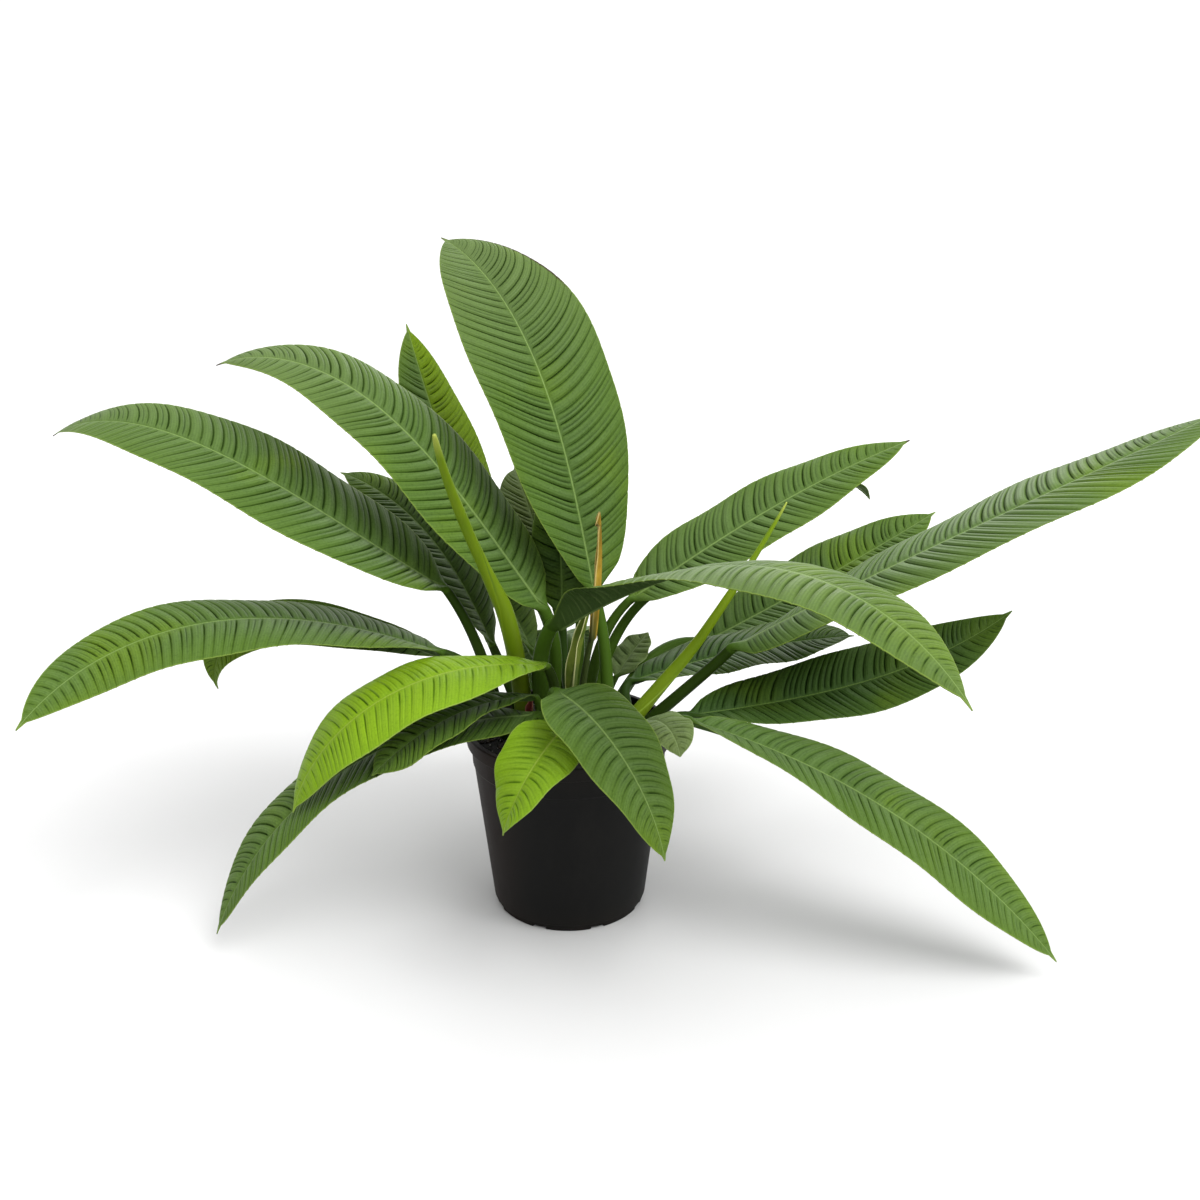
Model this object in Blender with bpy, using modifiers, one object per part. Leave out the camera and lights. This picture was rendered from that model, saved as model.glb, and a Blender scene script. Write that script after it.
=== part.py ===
"""A philodendron with long pleated leaves, growing in a black nursery pot.

The origin is the centre of the pot's flat underside, +Z is up and the front of the plant faces -Y.
Sizes are in millimetres and angles in degrees up to the point where a mesh is made.
"""

import math

import bmesh
import bpy
import numpy as np
from mathutils import Vector

MM = 0.001
GAP = 0.3  # clearance kept between neighbouring pieces

POT_HEIGHT = 190
RIM_RADIUS = 102.5
LIP_DEPTH = 14
COLLAR_DEPTH = 34  # from the rim down to the step under the collar
NECK_RADIUS = 97.5  # outside of the wall, right under the lip
BASE_RADIUS = 78.3  # outside of the wall, above the foot ring
FOOT_HEIGHT = 7
FOOT_INSET = 2
WALL = 1.8
FLOOR = 3
TURN_STEPS = 32
DRAIN_SLOTS = 8
DRAIN_WIDTH = 14
DRAIN_HEIGHT = 4

SOIL_EDGE = 178  # height of the soil where it meets the wall
SOIL_MOUND = 8  # how much higher its middle is
SOIL_BUMPS = 1.6
ROOT_DEPTH = 18  # length of each stalk below the surface of the soil
HOLE_CLEARANCE = 1
HOLE_SIDES = 8

PATH_STEPS = 96
RING = 10  # points round a stalk, and round a blade: five above and five below
COLUMNS = (1, 0.5, 0, -0.5, -1)  # across a blade, from its left edge to its right edge
BLADE_THICKNESS = 0.9
BLADE_END = 0.975  # where the blade proper ends and its drip tip starts
STEEPEST_FOLD = 70
EDGE_CURL = 0.2
TIP_SHARE = 0.012  # part of the blade's length left blunt at its tip
DRIP_WIDTH = 90  # a drip tip's half width for each unit of share before the tip
LEAF_GREEN = (0.085, 0.20, 0.035)
YOUNG_GREEN = (0.23, 0.38, 0.045)
DEEP_GREEN = (0.035, 0.10, 0.022)


def leaf(name, foot, heading, rise, stalk, blade, width, **more):
    """One leaf. foot is where it leaves the soil, heading and rise the direction in which it starts.

    bend and turn lower and turn the stalk, droop and swing the blade, all from its start to its end.
    lift is how far the blade's base turns up from the end of the stalk.
    roll lifts the blade's left half and twist is what the roll gains towards the tip.
    fold lifts both halves and cup lifts them further by the base. widest is where along the blade
    it is widest, late delays the droop and lean is how far a side vein runs forward for each unit
    that it runs outward. blunt is the share of a spear's thickness left at its tip.
    """
    told = {
        "name": name, "foot": foot, "heading": heading, "rise": rise, "stalk": stalk,
        "blade": blade, "width": width, "bend": 0, "turn": 0, "lift": 0, "droop": 30,
        "swing": 0, "roll": 0, "twist": 0, "fold": 14, "cup": 16, "widest": 0.48,
        "late": 1.3, "lean": 0.5, "blunt": 0.2, "rows": 28, "pleat": 1.6, "wave": 2.0,
        "foot_radius": 6.5, "neck_radius": 4.5, "colour": LEAF_GREEN,
    }
    told.update(more)
    return told


LEAVES = (
    leaf("leaf_tall", (40, 14), 94, 72, 132, 418, 166, bend=1, turn=49, lift=6, droop=59, swing=-3,
         roll=-6, twist=-11, fold=19, widest=0.55, late=2.3, foot_radius=7, neck_radius=5.5),
    leaf("leaf_left_high", (-22, 24), 169, 101, 121, 423, 121, bend=36, turn=5, lift=-9, droop=80,
         swing=6, roll=-25, twist=5, fold=8, widest=0.41, late=3.2, foot_radius=8, neck_radius=6.5),
    leaf("leaf_left_back", (-29, 60), 80, 34, 75, 394, 110, bend=4, turn=63, lift=26, droop=-5,
         swing=-19, roll=13, twist=-4, rows=22),
    leaf("leaf_left_middle", (-66, 6), 155, 75, 155, 441, 125, bend=18, turn=36, lift=-21, droop=68,
         swing=-32, roll=-20, twist=4, fold=12, widest=0.34, late=3.2),
    leaf("leaf_left_rear", (-50, 42), 135, 58, 78, 250, 90, bend=-8, turn=24, droop=55, swing=1,
         roll=4, twist=-18, late=1.6, rows=16),
    leaf("leaf_left_low", (-62, -12), 171, 75, 110, 426, 113, bend=61, turn=6, lift=6, droop=59,
         swing=56, roll=10, twist=-39, fold=6, widest=0.38, late=1.7, lean=0.28),
    leaf("leaf_left_under", (-72, 28), 113, 42, 99, 290, 55, bend=23, turn=90, lift=3, droop=133,
         swing=-36, roll=-35, twist=-41, fold=30, widest=0.66, late=3.2, rows=14),
    leaf("leaf_front_left", (-20, -30), 181, 105, 82, 311, 99, bend=46, turn=25, lift=-43, droop=92,
         swing=-20, roll=9, twist=-41, fold=2, widest=0.36, late=1.2, lean=0.3, rows=24,
         colour=YOUNG_GREEN),
    leaf("leaf_front_left_under", (-30, -36), 191, 105, 52, 181, 70, bend=48, turn=14, lift=-42,
         droop=55, swing=5, roll=14, twist=-27, fold=12, widest=0.62, late=0.8, foot_radius=5,
         neck_radius=3.5, rows=14),
    leaf("leaf_floor_left", (-24, -56), 189, 104, 42, 404, 95, bend=52, turn=-12, lift=-54,
         droop=67, swing=33, roll=-6, twist=3, widest=0.51, late=1.2, cup=-25, rows=22),
    leaf("leaf_front", (-6, -40), -120, 80, 97, 210, 88, bend=70, turn=58, droop=89, swing=24,
         roll=7, twist=-8, widest=0.36, late=1, rows=20),
    leaf("leaf_front_small", (2, -60), -73, 79, 74, 132, 86, bend=84, turn=-39, droop=68, swing=-25,
         roll=-10, twist=36, widest=0.42, foot_radius=5, rows=16, colour=YOUNG_GREEN),
    leaf("leaf_curled", (58, -54), -52, 76, 49, 76, 52, bend=41, droop=100, swing=-17,
         foot_radius=4.5, neck_radius=3, rows=10),
    leaf("leaf_floor_right", (72, -40), -20, 62, 64, 420, 98, bend=69, turn=3, lift=-2, droop=41,
         swing=1, roll=-9, twist=38, widest=0.47, late=1, rows=26),
    leaf("leaf_right_low", (63, -25), 24, 30, 62, 349, 92, bend=32, turn=-20, lift=9, droop=-29,
         swing=7, roll=3, twist=45, fold=17, widest=0.38, late=2.1, rows=26, colour=DEEP_GREEN),
    leaf("leaf_right_inner", (60, 42), 132, 78, 37, 238, 104, bend=49, turn=-118, lift=-14, droop=6,
         swing=-30, twist=6, widest=0.62, late=1.6, rows=14, colour=DEEP_GREEN),
    leaf("leaf_right_long", (72, 9), 13, 39, 125, 534, 135, bend=-12, turn=-37, lift=-15, droop=21,
         swing=52, roll=10, twist=-23, fold=9, widest=0.62, late=1.1, cup=-20, neck_radius=5.5),
    leaf("leaf_right_rear", (44, 50), 55, 36, 150, 303, 104, bend=55, turn=-38, lift=42, droop=-5,
         swing=-2, roll=12, twist=8, rows=18),
    leaf("leaf_right_high", (16, 36), 62, 70, 128, 341, 98, bend=26, turn=-59, lift=-8, droop=21,
         swing=18, roll=23, twist=-2, fold=12, widest=0.3, late=1.4, rows=24),
    leaf("leaf_front_arch", (-18, -10), -28, 105, 121, 511, 100, bend=56, turn=-18, lift=-17,
         droop=79, swing=-5, roll=-7, twist=9, fold=3, widest=0.54, late=2.1, cup=95, lean=0.35,
         foot_radius=10, neck_radius=7),
    leaf("leaf_back_inner", (-14, 45), 65, 68, 109, 164, 84, bend=-1, turn=76, lift=6, droop=46,
         swing=-32, roll=17, twist=-4, late=1.5, rows=14),
    leaf("leaf_dark_inner", (4, 24), 111, 59, 111, 139, 60, bend=-36, turn=-17, lift=-9, droop=36,
         swing=9, late=0.9, foot_radius=5, rows=10, colour=DEEP_GREEN),
    leaf("leaf_small_back", (35, 78), 33, 60, 31, 60, 48, bend=9, turn=5, droop=19, foot_radius=4.5,
         neck_radius=3, rows=10),
    leaf("leaf_back_right", (22, 72), 35, 70, 137, 335, 50, bend=36, turn=-28, droop=82, swing=46,
         late=2.6, rows=14),
    leaf("leaf_back_high", (6, 68), 80, 65, 113, 250, 100, bend=6, turn=17, droop=34, swing=6,
         rows=16),
    leaf("leaf_back_low", (-4, 82), 80, 65, 84, 250, 96, bend=74, turn=18, droop=80, swing=7,
         rows=16),
)

# A spear is a young leaf, still rolled up on its stalk.
SPEARS = (
    leaf("spear_left", (-43, 6), -125, 82, 141, 220, 12.5, bend=12, turn=-13, lift=-6, droop=13,
         swing=45, late=1.2, blunt=0.45, foot_radius=9.5, neck_radius=8.5, colour=YOUNG_GREEN),
    leaf("spear_right", (53, -7), 17, 49, 134, 159, 9, bend=-9, turn=-57, droop=-6, swing=41,
         foot_radius=8.5, neck_radius=5, colour=YOUNG_GREEN),
)

# A sheath is the papery guard that a new leaf leaves behind when it opens.
SHEATHS = (
    leaf("sheath_dry", (10, 4), 8, 85, 92, 132, 15, bend=9, turn=-1, lift=5, droop=-13, fold=50,
         widest=0.3, wave=0.5, foot_radius=4, neck_radius=3, rows=8, pleat=0,
         colour=(0.55, 0.24, 0.04)),
    leaf("sheath_pale", (5, -16), 19, 97, 42, 100, 24, bend=10, turn=1, lift=-5, droop=12, swing=2,
         fold=45, widest=0.3, wave=0.5, foot_radius=5, neck_radius=4, rows=8, pleat=0,
         colour=(0.48, 0.52, 0.18)),
    leaf("sheath_red", (-38, -27), 60, 87, 24, 20, 12, fold=45, widest=0.4, wave=0.5,
         foot_radius=3.5, neck_radius=3, rows=4, pleat=0, colour=(0.35, 0.03, 0.02)),
)


def material(name, colour, roughness):
    made = bpy.data.materials.new(name)
    made.use_nodes = True
    shader = made.node_tree.nodes["Principled BSDF"]
    shader.inputs["Base Color"].default_value = (*colour, 1)
    shader.inputs["Roughness"].default_value = roughness
    shader.inputs["Metallic"].default_value = 0
    return made


def add_object(name, mesh, collection, finish=None):
    made = bpy.data.objects.new(name, mesh)
    collection.objects.link(made)
    if finish:
        mesh.materials.append(finish)
    return made


def evaluated_mesh(obj):
    """The object's mesh with its modifiers applied."""
    graph = bpy.context.evaluated_depsgraph_get()
    return bpy.data.meshes.new_from_object(obj.evaluated_get(graph))


def turned(name, profile, collection, finish):
    """A solid of revolution from (radius, height) pairs that run up the inside and down the outside."""
    mesh = bpy.data.meshes.new(name)
    points = [(radius * MM, 0, height * MM) for radius, height in profile]
    mesh.from_pydata(points, [(i, i + 1) for i in range(len(points) - 1)], [])
    made = add_object(name, mesh, collection)
    screw = made.modifiers.new("Turn", "SCREW")
    screw.steps = TURN_STEPS
    screw.render_steps = TURN_STEPS
    screw.use_merge_vertices = True
    screw.merge_threshold = 0.00001
    made.data = evaluated_mesh(made)
    made.modifiers.clear()
    made.data.materials.append(finish)
    return made


def cut(target, cutters):
    boolean = target.modifiers.new("Cut", "BOOLEAN")
    boolean.operation = "DIFFERENCE"
    boolean.operand_type = "COLLECTION"
    boolean.collection = cutters
    boolean.solver = "EXACT"


def cutter_collection(name):
    made = bpy.data.collections.new(name)
    bpy.context.scene.collection.children.link(made)
    made.hide_render = True
    return made


def helper(obj):
    obj.hide_render = True
    obj.display_type = "WIRE"


def wall_radius(height):
    """Outside radius of the pot's tapered wall below the collar."""
    top = POT_HEIGHT - COLLAR_DEPTH
    share = (height - FOOT_HEIGHT) / (top - FOOT_HEIGHT)
    return BASE_RADIUS + share * (NECK_RADIUS - 2 - BASE_RADIUS)


def make_pot(collection):
    step = POT_HEIGHT - COLLAR_DEPTH
    under_lip = POT_HEIGHT - LIP_DEPTH
    inside = NECK_RADIUS - WALL
    profile = (
        (0, FLOOR),
        (wall_radius(FLOOR) - FOOT_INSET - WALL, FLOOR),
        (wall_radius(step) - WALL, step),
        (inside, under_lip),
        (inside + 1, POT_HEIGHT),
        (RIM_RADIUS - 1, POT_HEIGHT),
        (RIM_RADIUS, POT_HEIGHT - 1),
        (RIM_RADIUS - 0.4, under_lip),
        (NECK_RADIUS, under_lip),
        (wall_radius(step) + 1, step),
        (wall_radius(step), step - 1),
        (BASE_RADIUS, FOOT_HEIGHT),
        (BASE_RADIUS - FOOT_INSET, FOOT_HEIGHT - 1),
        (BASE_RADIUS - FOOT_INSET - 0.5, 0),
        (0, 0),
    )
    pot = turned("pot", profile, collection, material("pot_plastic", (0.012, 0.012, 0.011), 0.55))
    slots = cutter_collection("drain_cutters")
    for number in range(DRAIN_SLOTS):
        angle = 2 * math.pi * (number + 0.5) / DRAIN_SLOTS
        mesh = bpy.data.meshes.new("drain_slot")
        shape = bmesh.new()
        bmesh.ops.create_cube(shape, size=1)
        bmesh.ops.scale(shape, vec=(20 * MM, DRAIN_WIDTH * MM, 2 * DRAIN_HEIGHT * MM), verts=shape.verts)
        shape.to_mesh(mesh)
        shape.free()
        slot = add_object(f"drain_slot_{number}", mesh, slots)
        reach = (BASE_RADIUS - 4) * MM
        slot.location = (reach * math.cos(angle), reach * math.sin(angle), 0)
        slot.rotation_euler = (0, 0, angle)
        helper(slot)
    cut(pot, slots)
    return pot


def soil_height(x, y):
    """Height of the soil at a point in plan: a low mound with lumps."""
    radius = np.hypot(x, y) / RIM_RADIUS
    lumps = np.sin(0.21 * x + 1) * np.sin(0.17 * y) + 0.6 * np.sin(0.33 * x - 0.29 * y)
    return SOIL_EDGE + SOIL_MOUND * np.clip(1 - radius ** 2, 0, 1) + SOIL_BUMPS * lumps * (1 - radius)


def make_soil(collection, stems):
    """The potting mix, clear of the pot by a hair all round, with a plain hole for each stem."""
    step = POT_HEIGHT - COLLAR_DEPTH
    bottom = FLOOR + GAP
    outer = NECK_RADIUS - WALL - GAP
    profile = [(0, SOIL_EDGE)]
    profile += [(outer * share, SOIL_EDGE) for share in (0.3, 0.58, 0.82)]
    profile += [
        (outer, SOIL_EDGE),
        (outer, POT_HEIGHT - LIP_DEPTH),
        (wall_radius(step) - WALL - GAP, step),
        (wall_radius(FLOOR) - FOOT_INSET - WALL - 2 * GAP, bottom),
        (0, bottom),
    ]
    soil = turned("soil", profile, collection, material("potting_mix", (0.018, 0.013, 0.010), 0.95))
    for vertex in soil.data.vertices:
        if vertex.co.z > (SOIL_EDGE - 0.1) * MM:
            vertex.co.z = MM * float(soil_height(vertex.co.x / MM, vertex.co.y / MM))
    holes = cutter_collection("stem_holes")
    for number, (end, direction, radius) in enumerate(stems):
        mesh = bpy.data.meshes.new("stem_hole")
        shape = bmesh.new()
        length = 2 * ROOT_DEPTH
        wide = (radius + HOLE_CLEARANCE) * MM
        bmesh.ops.create_cone(shape, cap_ends=True, segments=HOLE_SIDES, radius1=wide, radius2=wide, depth=length * MM)
        shape.to_mesh(mesh)
        shape.free()
        hole = add_object(f"stem_hole_{number}", mesh, holes)
        hole.location = Vector((end + direction * (length / 2 - GAP)) * MM)
        hole.rotation_euler = Vector(direction).to_track_quat("Z", "Y").to_euler()
        helper(hole)
    cut(soil, holes)
    return soil


def leaf_path(told):
    """Points, left and up directions from the buried foot to the blade's tip.

    share runs from -1 at the soil to 0 at the blade's base and 1 at its tip, and below -1 in the soil.
    """
    part = np.linspace(0, 1, PATH_STEPS + 1)
    stalk_rise = told["rise"] - told["bend"] * part ** 2
    blade_rise = stalk_rise[-1] + told["lift"] - told["droop"] * part ** told["late"]
    stalk_turn = told["heading"] + told["turn"] * part ** 2
    blade_turn = stalk_turn[-1] + told["swing"] * part
    share = np.concatenate([part - 1, part[1:]])
    rise = np.radians(np.concatenate([stalk_rise, blade_rise[1:]]))
    turn = np.radians(np.concatenate([stalk_turn, blade_turn[1:]]))
    along = np.stack([np.cos(rise) * np.cos(turn), np.cos(rise) * np.sin(turn), np.sin(rise)], 1)
    step = np.repeat([told["stalk"] / PATH_STEPS, told["blade"] / PATH_STEPS], PATH_STEPS)
    middle = (along[1:] + along[:-1]) / 2
    x, y = told["foot"]
    foot = np.array([x, y, float(soil_height(x, y))])
    points = foot + np.concatenate([np.zeros((1, 3)), np.cumsum(middle * step[:, None], 0)])
    left = np.stack([-np.sin(turn), np.cos(turn), 0 * turn], 1)
    up = np.cross(along, left)
    roll = np.radians(told["roll"] + told["twist"] * np.clip(share, 0, 1))[:, None]
    tilted_left = left * np.cos(roll) + up * np.sin(roll)
    tilted_up = up * np.cos(roll) - left * np.sin(roll)
    return {"share": share, "points": points, "left": tilted_left, "up": tilted_up, "along": along}


def along_path(path, key, share):
    """The path's points or directions at one share of its length."""
    return np.array([np.interp(share, path["share"], path[key][:, axis]) for axis in range(3)])


def half_width(told, share):
    """Rounded at the base, widest at told["widest"], and drawn out to a narrow drip tip."""
    widest = told["widest"]
    if share < widest:
        return told["width"] / 2 * (1 - (1 - share / widest) ** 2.4) ** 0.62
    drip = DRIP_WIDTH * (1 - share) if share > 0.9 else 0
    gone = min((share - widest) / (BLADE_END - widest), 1)
    return max(told["width"] / 2 * (1 - gone ** 2.3) ** 0.8, drip)


def stalk_ring(path, share, radius):
    centre, left, up = (along_path(path, key, share) for key in ("points", "left", "up"))
    angles = np.radians(162 - 360 / RING * np.arange(RING))[:, None]
    return centre - left * radius * np.cos(angles) + up * radius * np.sin(angles)


def blade_ring(told, path, row_share, side):
    """One row of points over the blade and back under it, along a pair of side veins.

    side is 1 on a row that stands up between two veins and -1 on a row that is sunk along them.
    """
    above = []
    below = []
    lean = told["lean"] * min(half_width(told, row_share) / told["blade"], 0.2)
    for u in COLUMNS:
        reach = abs(u)
        share = min(row_share + lean * reach ** 1.5, 1 - TIP_SHARE / 2)
        fold = math.radians(min(told["fold"] + told["cup"] * (1 - share) ** 6, STEEPEST_FOLD))
        width = max(half_width(told, share), 0.6)
        centre, left, up = (along_path(path, key, share) for key in ("points", "left", "up"))
        taper = min(1, 2.5 * width / told["width"])
        relief = told["pleat"] * side * taper * min(2 * reach, 1) * (1 - 0.35 * reach)
        wave = told["wave"] * taper * reach ** 3 * math.sin(19 * share + 2.4 * u + told["blade"])
        height = width * (math.sin(fold) * reach - EDGE_CURL * reach ** 2) + relief + wave
        top = centre + left * u * width * math.cos(fold) + up * height
        keel = told["neck_radius"] * (1 - share) ** 1.5 if u == 0 else 0
        above.append(top)
        below.append(top - up * (BLADE_THICKNESS / math.cos(fold) + keel))
    return np.array(above + below[::-1])


def leaf_rings(told, path):
    stalk_share = ROOT_DEPTH / told["stalk"]
    foot = told["foot_radius"]
    neck = told["neck_radius"]
    buried = along_path(path, "points", -1) - ROOT_DEPTH * path["along"][0]
    first = stalk_ring(path, -1, foot)
    rings = [first + buried - along_path(path, "points", -1)]
    for share in (-1 + stalk_share / 3, -0.6, -0.3, -0.03):
        rings.append(stalk_ring(path, share, foot + (neck - foot) * (1 + share)))
    rows = told["rows"]
    for row in range(rows):
        share = (row + 0.35) / rows * (1 - TIP_SHARE)
        rings.append(blade_ring(told, path, share, 1 if row % 2 else -1))
    rings.append(blade_ring(told, path, 1 - TIP_SHARE / 2, 0))
    return rings


def loft(name, rings, collection, finish):
    """One closed body through rings of ten points, both of its faces split into triangles alike."""
    points = [tuple(point * MM) for ring in rings for point in ring]
    half = RING // 2
    middle = half // 2
    faces = [tuple(reversed(range(RING)))]
    for row in range(len(rings) - 1):
        for j in range(RING):
            a = row * RING + j
            b = row * RING + (j + 1) % RING
            c, d = b + RING, a + RING
            left_half = j < middle or j >= RING - 1 - middle
            if left_half == (j < half):
                faces += [(a, c, d), (a, b, c)]
            else:
                faces += [(a, b, d), (b, c, d)]
    last = (len(rings) - 1) * RING
    faces.append(tuple(last + j for j in range(RING)))
    mesh = bpy.data.meshes.new(name)
    mesh.from_pydata(points, [], faces)
    made = add_object(name, mesh, collection, finish)
    mesh.shade_smooth()
    mesh.set_sharp_from_angle(angle=math.radians(50))
    return made


def make_spear(told, path, collection, finish):
    """A round stalk that runs on as a slim roll, thickest a little above its start, to its tip."""
    shares = np.linspace(-1, 1, 17)
    foot, neck, roll = told["foot_radius"], told["neck_radius"], told["width"] / 2
    start = along_path(path, "points", -1) - ROOT_DEPTH * path["along"][0]
    points = [start] + [along_path(path, "points", share) for share in shares]
    radii = [foot] + [
        foot + (neck - foot) * (1 + share) if share < 0
        else neck + (roll - neck) * min(4 * share, 1) if share < 0.25
        else roll * (1 - (1 - told["blunt"]) * ((share - 0.25) / 0.77) ** 1.3)
        for share in shares
    ]
    curve = bpy.data.curves.new(told["name"], "CURVE")
    curve.dimensions = "3D"
    curve.bevel_depth = MM
    curve.bevel_resolution = 2
    curve.use_fill_caps = True
    spline = curve.splines.new("POLY")
    spline.points.add(len(points) - 1)
    for spot, point, radius in zip(spline.points, points, radii):
        spot.co = (*(point * MM), 1)
        spot.radius = radius
    guide = add_object(told["name"] + "_guide", curve, collection)
    mesh = evaluated_mesh(guide)
    bpy.data.objects.remove(guide, do_unlink=True)
    shape = bmesh.new()
    shape.from_mesh(mesh)
    bmesh.ops.remove_doubles(shape, verts=shape.verts, dist=0.00001)
    shape.to_mesh(mesh)
    shape.free()
    mesh.name = told["name"]
    add_object(told["name"], mesh, collection, finish)
    mesh.shade_smooth()


def make_leaves(collection):
    """Builds all that grows and returns the end, direction and radius of each stalk in the soil."""
    stems = []
    for told in LEAVES + SPEARS + SHEATHS:
        path = leaf_path(told)
        finish = material(told["name"], told["colour"], 0.45)
        if told in SPEARS:
            make_spear(told, path, collection, finish)
        else:
            loft(told["name"], leaf_rings(told, path), collection, finish)
        direction = path["along"][0]
        end = along_path(path, "points", -1) - ROOT_DEPTH * direction
        stems.append((end, direction, told["foot_radius"]))
    return stems


def main():
    for old in list(bpy.data.objects):
        bpy.data.objects.remove(old, do_unlink=True)
    collection = bpy.data.collections.new("potted_philodendron")
    bpy.context.scene.collection.children.link(collection)
    stems = make_leaves(collection)
    make_pot(collection)
    make_soil(collection, stems)


main()
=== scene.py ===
import bpy
import numpy as np
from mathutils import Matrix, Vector


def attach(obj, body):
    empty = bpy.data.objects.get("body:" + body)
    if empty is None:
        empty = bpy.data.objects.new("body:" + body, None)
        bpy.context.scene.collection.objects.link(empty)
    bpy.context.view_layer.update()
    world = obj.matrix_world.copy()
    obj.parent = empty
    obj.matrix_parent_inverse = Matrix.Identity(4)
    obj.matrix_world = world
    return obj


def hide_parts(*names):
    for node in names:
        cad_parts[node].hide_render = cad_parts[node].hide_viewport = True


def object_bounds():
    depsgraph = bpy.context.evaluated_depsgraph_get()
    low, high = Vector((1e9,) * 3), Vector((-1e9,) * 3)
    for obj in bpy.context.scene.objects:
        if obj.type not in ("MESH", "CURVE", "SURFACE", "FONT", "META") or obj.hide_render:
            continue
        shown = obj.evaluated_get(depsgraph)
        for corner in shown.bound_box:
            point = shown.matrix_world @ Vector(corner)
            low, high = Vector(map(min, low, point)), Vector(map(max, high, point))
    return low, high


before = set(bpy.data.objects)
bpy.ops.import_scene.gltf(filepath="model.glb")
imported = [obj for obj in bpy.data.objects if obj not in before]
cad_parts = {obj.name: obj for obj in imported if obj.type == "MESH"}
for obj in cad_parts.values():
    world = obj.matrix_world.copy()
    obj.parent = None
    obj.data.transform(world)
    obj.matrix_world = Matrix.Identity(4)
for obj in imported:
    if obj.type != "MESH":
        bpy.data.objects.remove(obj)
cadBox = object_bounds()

# A philodendron with long pleated leaves in a black nursery pot. Sizes are in millimetres, angles
# in degrees. The pot stands on z = 0, centred on the origin, and its front faces -Y.
mm = 0.001
seed = 11


class Signal:
    # One output of a node. Arithmetic on it adds the Math nodes that work it out.
    def __init__(self, paint, socket):
        self.paint, self.socket = paint, socket

    def __add__(self, other):
        return self.paint.maths("ADD", self, other)

    def __sub__(self, other):
        return self.paint.maths("SUBTRACT", self, other)

    def __rsub__(self, other):
        return self.paint.maths("SUBTRACT", other, self)

    def __mul__(self, other):
        return self.paint.maths("MULTIPLY", self, other)

    __radd__ = __add__
    __rmul__ = __mul__


class Paint:
    # A material or world under construction.
    def __init__(self, owner):
        owner.use_nodes = True
        self.owner, self.tree = owner, owner.node_tree
        self.tree.nodes.clear()

    def node(self, kind, settings=None, sockets=None, out=0):
        # adds a node, makes its settings, then fills its sockets with values or links
        made = self.tree.nodes.new("ShaderNode" + kind)
        for key, value in (settings or {}).items():
            setattr(made, key, value)
        for key, value in (sockets or {}).items():
            if isinstance(value, Signal):
                self.tree.links.new(value.socket, made.inputs[key])
            else:
                made.inputs[key].default_value = value
        return Signal(self, made.outputs[out]) if made.outputs else made

    def maths(self, operation, *values):
        return self.node("Math", {"operation": operation}, dict(enumerate(values)))

    def attribute(self, name):
        return self.node("Attribute", {"attribute_name": name}, out="Fac")

    def step(self, value, low, high):
        # 0 up to low, 1 from high on, and a smooth rise between them; low may be above high
        span = {"Value": value, "From Min": low, "From Max": high}
        return self.node("MapRange", {"interpolation_type": "SMOOTHSTEP"}, span)

    def mix(self, share, plain, other):
        # from the plain colour to the other as share goes from 0 to 1
        colours = [(*c, 1) if isinstance(c, tuple) else c for c in (plain, other)]
        return self.node("Mix", {"data_type": "RGBA"}, {0: share, 6: colours[0], 7: colours[1]}, 2)

    def scaled(self, colour, amount):
        return self.node("VectorMath", {"operation": "SCALE"}, {0: colour, "Scale": amount})

    def place(self, stretch=(1, 1, 1)):
        # the point on the piece in metres, drawn out along each axis by what stretch divides
        spot = self.node("TexCoord", out="Object")
        return self.node("Mapping", {"vector_type": "POINT"}, {"Vector": spot, "Scale": stretch})

    def noise(self, scale, detail=2, roughness=0.5, stretch=(1, 1, 1)):
        sockets = {"Vector": self.place(stretch), "Scale": scale, "Detail": detail,
                   "Roughness": roughness}
        return self.node("TexNoise", None, sockets)

    def bump(self, height, distance, strength):
        sockets = {"Height": height, "Distance": distance, "Strength": strength}
        return self.node("Bump", None, sockets)

    def surface(self, **sockets):
        # ends the material in a Principled shader, whose socket names are written as one word here
        shader = self.tree.nodes.new("ShaderNodeBsdfPrincipled")
        known = {socket.name.replace(" ", "").lower(): socket for socket in shader.inputs}
        for key, value in sockets.items():
            socket = known[key.lower()]
            if isinstance(value, Signal):
                self.tree.links.new(value.socket, socket)
            else:
                socket.default_value = value
        end = self.tree.nodes.new("ShaderNodeOutputMaterial")
        self.tree.links.new(shader.outputs[0], end.inputs["Surface"])
        return self.owner


def newPaint(name):
    return Paint(bpy.data.materials.new(name))


def addPiece(name, points, faces, finish, replaced=None, attributes=None):
    # points in millimetres become one smooth mesh at the origin, which rides on the plant's body
    mesh = bpy.data.meshes.new(name)
    mesh.from_pydata((points.reshape(-1, 3) * mm).tolist(), [], faces)
    mesh.materials.append(finish)
    mesh.shade_smooth()
    for key, values in (attributes or {}).items():
        layer = mesh.attributes.new(key, "FLOAT", "POINT")
        layer.data.foreach_set("value", np.ascontiguousarray(values, np.float32).ravel())
    piece = bpy.data.objects.new(name, mesh)
    bpy.context.scene.collection.objects.link(piece)
    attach(piece, "root")
    if replaced:
        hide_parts(replaced)
    return piece


def tubeFaces(rows, around, flip=False):
    # four-sided faces between neighbouring rings of points, and one face over each end
    corner = np.arange((rows - 1) * around).reshape(rows - 1, around)
    beside = np.roll(corner, -1, 1)
    quads = np.stack([corner, beside, beside + around, corner + around], -1).reshape(-1, 4)
    ends = [np.arange(around)[::-1], (rows - 1) * around + np.arange(around)]
    faces = quads[:, ::-1] if flip else quads
    return faces.tolist() + [(end[::-1] if flip else end).tolist() for end in ends]


def smooth(value):
    # 3 v^2 - 2 v^3 with v held between 0 and 1
    value = np.clip(value, 0, 1)
    return value * value * (3 - 2 * value)


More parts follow.
